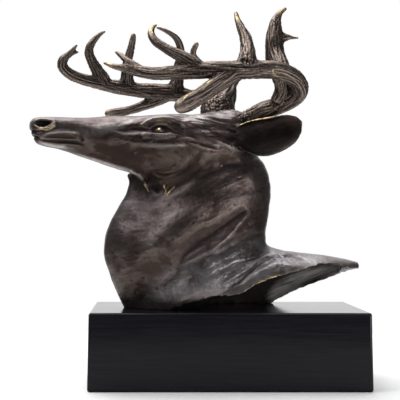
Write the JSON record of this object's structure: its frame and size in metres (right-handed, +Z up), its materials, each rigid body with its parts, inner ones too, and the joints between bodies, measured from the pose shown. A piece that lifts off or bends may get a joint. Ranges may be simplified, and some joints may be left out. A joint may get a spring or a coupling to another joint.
{
  "type": "stag head sculpture",
  "caption": "Patinated bronze sculpture of a stag's head and neck with branching antlers and a torn, hollow lower edge, standing on a rectangular black block.",
  "frame": {"origin": "centre of the block's underside", "axes": "+Z up, along the longest extent; the stag looks along -X, and its near side, the one in the picture, faces -Y"},
  "size_m": [0.324, 0.2225, 0.3668],
  "materials": {
    "bronze": "dark brown patina over bronze, satin, rubbed bright on the ridges and tips",
    "block": null
  },
  "bodies": {
    "root": {"plinth": "block", "stag_bust": "bronze"}
  },
  "joints": []
}
